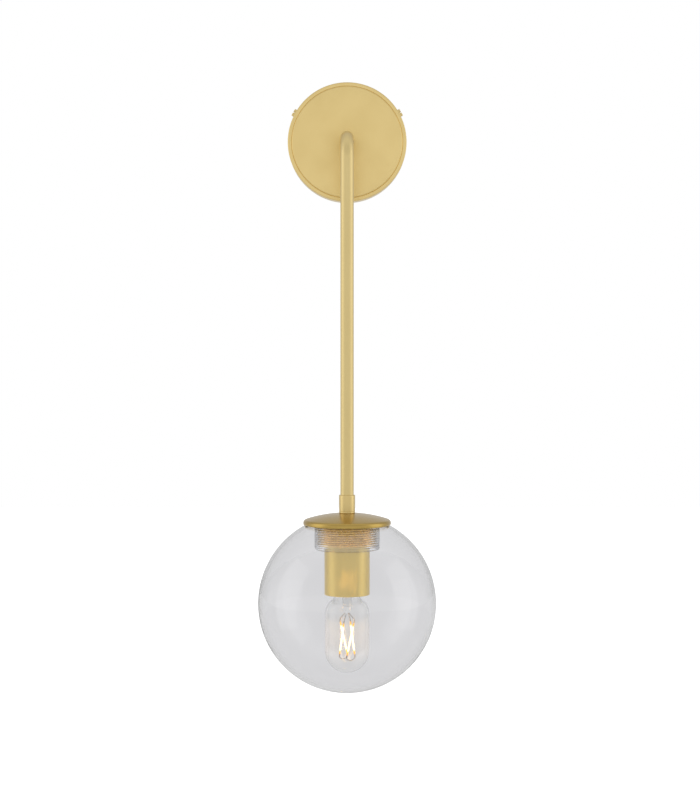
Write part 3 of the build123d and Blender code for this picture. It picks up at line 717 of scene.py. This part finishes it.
# %% Canopy
canopy_radius, canopy_depth, canopy_wall = 61.0, 30.0, 1.2
disc_radius, disc_step, canopy_bore = 56.9, 1.5, 6.95
shoulder = canopy_depth - disc_step
canopy_corners = [
    (canopy_radius - canopy_wall, 0, 0.3), (canopy_radius, 0, 0.5),
    (canopy_radius, shoulder, 1.0), (disc_radius + 0.45, shoulder, 0.1),
    (disc_radius + 0.2, shoulder - 0.3, 0.08), (disc_radius, shoulder - 0.1, 0),
    (disc_radius, canopy_depth, 1.2), (canopy_bore, canopy_depth, 0.25),
    (canopy_bore, canopy_depth - canopy_wall, 0.1),
    (disc_radius - canopy_wall, canopy_depth - canopy_wall, 0.5),
    (disc_radius - canopy_wall, shoulder - canopy_wall, 0.3),
    (canopy_radius - canopy_wall, shoulder - canopy_wall, 0.6),
]
settle_turned("canopy", canopy_corners, 192, brass_face_painted_light, on_canopy)

# %% [markdown]
# ## Screws
#
# Three slotted screws go through the canopy's side into the bracket's tabs. One screw is turned, threaded
# by the thread rule and slotted with a Boolean, and the copies rule stands it at the three places.

# %% Canopy screws
def slotted(name, corners, band, slot_box, finish, pitch=0.7, depth=0.3):
    """One screw on the vertical axis, threaded and slotted."""
    screw = turned(name, divided(rounded(corners, 20), pitch / 6), 40, on_axis, [band])
    threaded(screw, finish, pitch, depth, *band[1:3], fade=0.8, sharpness=1.4, centre=(0, 0, 0))
    width, deep, top = slot_box
    cutter = shown("slot_cutter", bpy.data.meshes.new("slot_cutter"))
    work = bmesh.new()
    bmesh.ops.create_cube(work, size=1.0, matrix=Matrix.Translation((0, 0, top * mm))
                          @ Matrix.Diagonal((30 * mm, width * mm, 2 * deep * mm, 1)))
    work.to_mesh(cutter.data)
    work.free()
    cut = screw.modifiers.new("slot", "BOOLEAN")
    cut.object = cutter
    cut.solver = "EXACT"
    baked(screw)
    bpy.data.objects.remove(cutter)
    smoothed(screw.data)
    return screw


head_high, shank, off_wall = 3.3, 1.8, 10
screw_corners = [(0, head_high, 0), (4, head_high, 0.45), (4, 0, 0.15), (shank, 0, 0), (shank, -7.4, 0.1),
                 (1.2, -8, 0.1), (0, -8, 0)]
screw = slotted("canopy_screws", screw_corners, (shank, -7.2, -1.4, 1), (1.1, 1.4, head_high), brass_face_painted_light)
place = on_canopy @ Matrix.Translation((canopy_radius, 0, off_wall)) @ Matrix.Rotation(radians(90), 4, "Y")
transformed(screw, place)
copied(screw, brass_face_painted_light, count=3, first=radians(30), centre=(0, 0, 0), axis=(0, -1, 0))
settle(screw, brass_face_painted_light, "canopy_screws")

# %% [markdown]
# ## Arm
#
# The arm is one tube: out of the canopy, round a tight bend and straight down. A curve with a fillet
# describes it, and a circle carried along it makes the skin. The tree also writes how far along and how far
# round each point is, and the brushing follows those numbers round the bend. Solidify gives the wall its
# thickness afterwards, inwards, so that the outside stays to size.

# %% Arm
tube_start, stem_end = -28.8, -365.51
bend_radius, tube_radius, tube_wall = 22, 6.6, 1.5
line_mesh = bpy.data.meshes.new("arm_line")
line_points = [(0, tube_start * mm, 0), stem_centre, (0, stem_centre[1], stem_end * mm)]
line_mesh.from_pydata(line_points, [(0, 1), (1, 2)], [])
arm = shown("arm_tube", line_mesh)
grown(arm, arm_rule, brass_tube, bend_radius=bend_radius * mm, bend_steps=28, tube_radius=tube_radius * mm,
      sides=96)
wall = arm.modifiers.new("wall", "SOLIDIFY")
wall.thickness = tube_wall * mm
wall.offset = -1
baked(arm).data.set_sharp_from_angle(angle=radians(35))
settle(arm, brass_tube, "arm_tube")

# %% [markdown]
# ## Ferrule, cap and ring
#
# At the stem's foot a short turned sleeve sits on the cap. The cap's underside follows the globe's own
# sphere just above it, so that the joint is one even line of shade, and its top is a flatter dome with a
# rounded rim. Under it the ring carries the globe on a fine thread, which shows through the glass as pale
# lines, helped by a painted highlight on its crests and painted shade in its roots.

# %% Ferrule and cap
globe_level = -465.2


def on_sphere(radius, at):
    """Height of a sphere about the globe's centre, at a distance from the stem's axis."""
    return globe_level + sqrt(radius**2 - at**2)


def bearing_at(radius, at):
    """The angle above the level, in degrees, of that sphere's point."""
    return degrees(atan2(sqrt(radius**2 - at**2), at))


cap_seat, ferrule_top, ferrule_radius = -374.71, -356.51, 8.0
ferrule_corners = [
    (5.05, cap_seat, 0), (7.75, cap_seat, 0.2), (ferrule_radius, cap_seat + 0.5, 0.3),
    (ferrule_radius, cap_seat + 1.5, 0.12), (7.8, cap_seat + 1.75, 0.1), (ferrule_radius, cap_seat + 2.0, 0.12),
    (ferrule_radius, ferrule_top, 0.55), (6.65, ferrule_top, 0.1), (6.65, stem_end, 0), (5.05, stem_end, 0),
]
settle_turned("ferrule", ferrule_corners, 96, brass_spun)

cap_inner, cap_radius, dome_radius = 89.4, 43.8, 135.0
cap_bore, flat_radius = 5.2, 8.6
dome_centre = cap_seat - sqrt(dome_radius**2 - flat_radius**2)
crown = arc(dome_centre, dome_radius, bearing_at(dome_radius, flat_radius), 73.0, 1.0)
underside = arc(globe_level, cap_inner, 62.0, bearing_at(cap_inner, cap_bore), 1.5)
rim_high, rim_low = dome_centre + sqrt(dome_radius**2 - cap_radius**2), on_sphere(cap_inner, cap_radius)
edge = rounded([(*crown[-1], 0), (cap_radius, rim_high, 3.4), (cap_radius, rim_low, 1.2),
                (*underside[0], 0)], 8)
flat = [Vector((cap_bore, cap_seat)), Vector((flat_radius, cap_seat))]
cap_outline = underside + flat + crown[1:] + edge[1:-1]
settle(turned("dome_cap", cap_outline, 160), brass_cap_painted_shade, "dome_cap")

# %% Ring
ring_radius, ring_top, ring_mouth = 29.4, -381.97, -406.57
thread_depth = 0.8
wall_radius, neck_radius = ring_radius - thread_depth / 2, 8.0
neck_high = on_sphere(cap_inner, neck_radius)
ring_corners = [
    (cap_bore, neck_high, 0), (cap_bore, ring_top - 2, 0.3), (27.4, ring_top - 2, 1.0), (27.4, ring_mouth, 0.3),
    (wall_radius, ring_mouth, 0.5), (wall_radius, ring_top, 0.8), (neck_radius, ring_top, 1.0),
    (neck_radius, neck_high, 0.2),
]
band_low, band_high = -406.2, -383.0
ring = turned("shade_ring", divided(rounded(ring_corners), 0.22), 144,
              threads=[(wall_radius, band_low, band_high, 1)])
threaded(ring, ring_brass, thread_pitch, thread_depth, band_low - 0.2, band_high + 0.2, fade=1.2, sharpness=1.2)
settle(ring, ring_brass, "shade_ring")

# %% [markdown]
# ## Globe
#
# Clear glass shows only what it bends and reflects, so its two walls have to be true, and about 3 mm apart
# as in the blown original: that gives the bright and dark lines at the edge. The outline is one closed
# line, down the outside, up the inside, and round the threaded collar that hangs in the mouth. The collar's
# thread is the ring's thread moved outwards by the gap, so the two stay in step when the globe turns.

# %% Globe
outer, inner = 89.0, 86.0
seat, lip = -385.01, -411.01
glass_depth = thread_depth / 2
collar_outside, collar_bore = 32.3, 29.8 - glass_depth / 2
root, lip_round = 2.5, 1.1
root_centre = Vector((collar_outside + root, on_sphere(inner - root, collar_outside + root)))
root_lean = bearing_at(inner - root, collar_outside + root)

mouth_radius = 35.0
globe_outline = [Vector((mouth_radius, seat)), Vector((mouth_radius, on_sphere(outer, mouth_radius) - 0.35))]
globe_outline += arc(globe_level, outer, bearing_at(outer, mouth_radius + 0.4), -90, 1.5)
globe_outline += arc(globe_level, inner, -90, root_lean, 1.5)
for k in range(1, 9):
    angle = radians(root_lean + (180 - root_lean) * k / 8)
    globe_outline.append(root_centre + Vector((cos(angle), sin(angle))) * root)
middle = (seat + lip) / 2
collar_rows = 110
upper, lower = root_centre.y - 0.2, lip + 1.3
globe_outline += straight(collar_outside, upper, lower, collar_rows)
globe_outline += rounded([(collar_outside, middle, 0), (collar_outside, lip, lip_round),
                          (collar_bore, lip, lip_round), (collar_bore, middle, 0)])[1:-1]
globe_outline += straight(collar_bore, lower, seat - 0.5, collar_rows)
globe_outline += [Vector((collar_bore, seat - 0.5)), Vector((collar_bore + 0.4, seat))]
globe = turned("glass_globe", globe_outline, 192,
               threads=[(collar_bore, lip + 1, seat, 0.4), (collar_outside, lip + 1, upper, 1)])
threaded(globe, globe_glass, thread_pitch, glass_depth, lip + 1.2, seat - 0.6, fade=1.2, sharpness=1.2)
settle(globe, globe_glass, "glass_globe_upper", "glass_globe_lower", "glass_globe_bottom", "globe_collar")

gasket_low, gasket_high = -384.71, -383.11
gasket_corners = [(radius, height, 0.4) for radius, height in
                  ((29.8, gasket_low), (34.7, gasket_low), (34.7, gasket_high), (29.8, gasket_high))]
settle_turned("globe_gasket", gasket_corners, 128, silicone, turn=30)

# %% [markdown]
# ## Socket cup and lampholder
#
# The cup is a plain spun tube with a closed top, read by its reflections alone, so its edges are rounded as
# little as on the real one. Inside it hangs the lampholder: a black moulding round a brass shell, whose
# thread is pressed into thin sheet, so both of its faces follow it.

# %% Cup and lampholder
cup_top, cup_mouth = -383.97, -456.17
cup_corners = [(cap_bore, cup_top, 0), (cap_bore, cup_top - 1, 0), (21.6, cup_top - 1, 1.0),
               (21.6, cup_mouth, 0.45), (22.6, cup_mouth, 0.45), (22.6, cup_top, 2.0)]
settle_turned("socket_cup", cup_corners, 160, brass_cup)

insert_low, holder_split, holder_mouth = -426.47, -407.97, -453.47
body_corners = [(17.3, holder_split, 0.2), (17.3, insert_low, 0.2), (14.3, insert_low, 0.2),
                (14.3, holder_mouth, 0.4), (17.6, holder_mouth, 1.0), (17.6, insert_low - 3.5, 0.5),
                (19.5, insert_low - 3.5, 0.5), (19.5, holder_split, 0.3)]
settle_turned("lampholder_body", body_corners, 96, black_phenolic)

bulb_pitch, bulb_depth = 3.6286, 0.8
shell_low = insert_low - 21
shell_corners = [(9.0, insert_low, 0), (9.0, insert_low - 0.4, 0), (13.0, insert_low - 0.4, 0.5),
                 (13.0, shell_low, 0), (13.4, shell_low, 0), (13.4, insert_low, 0.5)]
shell = turned("lampholder_screw_shell", divided(rounded(shell_corners), 0.3), 96,
               threads=[(13.0, shell_low - 1, insert_low - 1.2, 1), (13.4, shell_low - 1, insert_low - 0.8, 1)])
threaded(shell, brass_contact, bulb_pitch, bulb_depth, shell_low - 1.5, insert_low - 1.5, fade=1.5,
         sharpness=1.0)
settle(shell, brass_contact, "lampholder_screw_shell")

# %% [markdown]
# ## Bulb
#
# The bulb is a tube with four light rods. Its glass is thin, so it bends light only at its round end and
# its shoulders, and the mount inside shows as a pale hollow stem with a pinched tip. The base's thread is
# rolled like the holder's, in step with it.

# %% Bulb glass and mount
bulb_low, base_rim = -534.87, -451.87
neck_top = base_rim + 3.6
mount_low = base_rim - 25
bulb_neck, bulb_belly, bulb_wall = 12.9, 22.3, 0.8
shoulder_high, shoulder_low = base_rim - 8.1, base_rim - 15.6


def bulb_side(inset):
    """The bulb's outside from its neck to its lowest point, drawn in by an inset."""
    neck, belly, low, drop = bulb_neck - inset, bulb_belly - inset, bulb_low + inset, inset / 2
    corners = [(0, neck_top, 0), (neck, neck_top, 0), (neck, shoulder_high - drop, 5 + inset),
               (belly, shoulder_low - drop, 16 - inset), (belly, low, belly * 0.995), (0, low, 0)]
    return rounded(corners, 3)[1:]


settle(turned("bulb_glass", bulb_side(0) + bulb_side(bulb_wall)[::-1], 160), bulb_clear, "bulb_glass")

mount_tip_radius = 2.2
mount_corners = [
    (10.9, neck_top, 0), (11.9, neck_top, 0), (11.9, neck_top - 1.5, 0.4), (5.2, neck_top - 9, 5),
    (5.2, mount_low + 7, 2), (mount_tip_radius, mount_low + 3, 2), (mount_tip_radius, mount_low, 1.5),
    (0, mount_low, 0), (0, mount_low + 8, 0), (4.2, mount_low + 9, 1.5), (4.2, neck_top - 8.5, 5.5),
    (10.9, neck_top - 1.5, 0.4),
]
settle_turned("bulb_mount", mount_corners, 64, mount_glass)

# %% Bulb base
thread_low, base_top = base_rim + 5.4, -430.37
base_corners = [
    (9.7, base_top, 0), (11.9, base_top, 0.2), (12.5, base_top - 0.6, 0.3), (12.5, thread_low, 0.3),
    (13.7, base_rim + 2.9, 0.3), (13.7, base_rim, 0.1), (13.35, base_rim, 0.1),
    (13.35, base_rim + 2.9, 0.3), (12.15, thread_low, 0.3), (12.15, base_top - 0.35, 0),
    (9.7, base_top - 0.35, 0),
]
base = turned("bulb_base_shell", divided(rounded(base_corners), 0.3), 96,
              threads=[(12.5, thread_low, base_top - 0.8, 1), (12.15, thread_low, base_top - 0.8, 1)])
threaded(base, nickel, bulb_pitch, bulb_depth, thread_low, base_top - 0.8, fade=1.5, sharpness=1.0)
settle(base, nickel, "bulb_base_shell")

contact_low, contact_top = -426.37, -424.87
insulator_top = contact_low - 0.1
insulator_corners = [(0, insulator_top, 0), (0, base_top, 0), (12.2, base_top, 0.2),
                     (12.2, base_top + 0.6, 0.3), (5.8, insulator_top, 0.4)]
settle_turned("bulb_base_insulator", insulator_corners, 64, black_glass)
contact_corners = [(0, contact_low, 0), (4.8, contact_low, 0.2), (4.8, contact_top, 1.1), (0, contact_top, 0)]
settle_turned("bulb_base_contact", contact_corners, 48, solder)

# %% [markdown]
# ## Light rods
#
# Four rods stand in a twisted cage. Each is a thin strip coated in yellow phosphor; lit, its middle is far
# brighter than its ends, where the coating shows its own colour. A picture cuts such brightness off, so the
# full strength is kept for second mirrors, where it makes the warm patch on the cup. One rod is made from
# its two ends, and the copies rule repeats it round the stem's axis, with its metal tabs and its wire.

# %% Light rods
rod_top, rod_bottom = bulb_low + 50.3, bulb_low + 18.6


def cage_point(degrees_round, radius, height):
    return Vector((radius * cos(radians(degrees_round)), radius * sin(radians(degrees_round)), height))


def bar(name, start, end, radius, sides=20):
    """A round bar with rounded ends between two points, in the stem's own coordinates."""
    run = end - start
    corners = [(0, 0, 0), (radius, 0, radius * 0.6), (radius, run.length, radius * 0.6), (0, run.length, 0)]
    place = on_stem @ Matrix.Translation(start) @ run.to_track_quat("Z", "Y").to_matrix().to_4x4()
    return turned(name, divided(rounded(corners, 18), 1.5), sides, place)


def joined(first, *others):
    """Adds the other objects' meshes to the first one."""
    work = bmesh.new()
    for piece in (first, *others):
        work.from_mesh(piece.data)
    work.to_mesh(first.data)
    work.free()
    for piece in others:
        bpy.data.objects.remove(piece)
    return first


cage_radius, rod_radius, tab_radius, tab_length = 7.5, 0.75, 0.5, 3.0
foot, head = cage_point(-90, cage_radius, rod_bottom), cage_point(-26, cage_radius, rod_top)
along = (head - foot).normalized()

glow = Finish("filament_phosphor")
_, _, glow_height = glow.split(glow.place())
from_end = glow.math("MINIMUM", rod_top * mm - glow_height, glow_height - rod_bottom * mm)
unlit_end, lit_from = 2.4 * mm, 5.0 * mm
lit = glow.step(from_end, unlit_end, lit_from)
coat_grain = glow.noise(glow.place(), 1500.0)
mirrored_twice = glow.clamp(glow.ray("Glossy Depth") - 1.0)
seen = glow.blend(mirrored_twice, (0.055, 0.035, 0.016), (1.0, 0.62, 0.26))
light_colour = glow.blend(lit, (0.012, 0.0052, 0.0005), seen)
coating = glow.blend(coat_grain, (0.85, 0.50, 0.06), (0.75, 0.40, 0.04))
full_light = 85.0
filament_glow = glow.done(Base_Color=coating, Roughness=coat_grain * 0.2 + 0.4, Emission_Color=light_colour,
                          Emission_Strength=full_light)

rods = bar("bulb_filaments", foot, head, rod_radius)
settle(copied(rods, filament_glow, 4), filament_glow, "bulb_filaments")

tabs = joined(bar("bulb_filament_tabs", head, head + along * tab_length, tab_radius, 12),
              bar("lower_tab", foot - along * tab_length, foot, tab_radius, 12))
settle(copied(tabs, wire_metal, 4), wire_metal, "bulb_filament_tabs")

# %% Lead wires
wire_radius = 0.3
tab_high, tab_low = head + along * (tab_length + wire_radius), foot - along * (tab_length + wire_radius)
hold = Vector((tab_high.x, tab_high.y, 0)).normalized() * (mount_tip_radius + wire_radius)
hold.z = mount_low + 1.5
leads = copied(bar("bulb_lead_wires", tab_high, hold, wire_radius, 10), wire_metal, 4)

next_low = Matrix.Rotation(radians(90), 3, "Z") @ tab_low
sag = [tab_low.lerp(next_low, t) - Vector((0, 0, 10.0 * t * (1 - t))) for t in [k / 10 for k in range(11)]]
links = [bar("link", a, b, wire_radius, 10) for a, b in zip(sag, sag[1:])]
bridges = copied(joined(*links), wire_metal, 2)
settle(joined(leads, bridges), wire_metal, "bulb_lead_wires")

# %% [markdown]
# ## What is out of sight
#
# The bracket, the terminal block, the nuts and washers and the inner mouldings are only seen from behind or
# below. Their solids are already right, so they are copied with their triangles joined. The two threaded
# tubes get their thread from the same rule as the globe's ring.

# %% Hidden pieces
def threaded_tube(node, low, high, place):
    """A threaded tube from one height to another."""
    corners = [(4.0, low, 0.2), (4.75, low, 0.2), (4.75, high, 0.2), (4.0, high, 0.2)]
    tube = turned(node, divided(rounded(corners, 30), 0.17), 64, on_axis, [(4.75, low, high, 1)])
    threaded(tube, zinc, 1.0, 0.25, low, high, fade=0.8, sharpness=1.3, centre=(0, 0, 0))
    transformed(tube, place)
    return settle(tube, zinc, node)


threaded_tube("arm_nipple", 18.3, 42.8, on_canopy)
threaded_tube("stem_nipple", -403.96, -360.91, on_stem)
finish_of = dict.fromkeys(("wall_bracket", "terminal_block_screws", "arm_plate", "arm_lock_washer", "arm_nut",
                           "cup_lock_washer", "cup_nut"), zinc)
finish_of |= {"ground_screw": green_screw, "terminal_block": white_plastic, "lampholder_cap": black_phenolic,
              "lampholder_insert": ceramic, "lampholder_centre_contact": brass_contact,
              "lampholder_terminals": brass_contact, "bulb_driver_board": board_green}
for node, finish in finish_of.items():
    smooth_copy(node, finish)
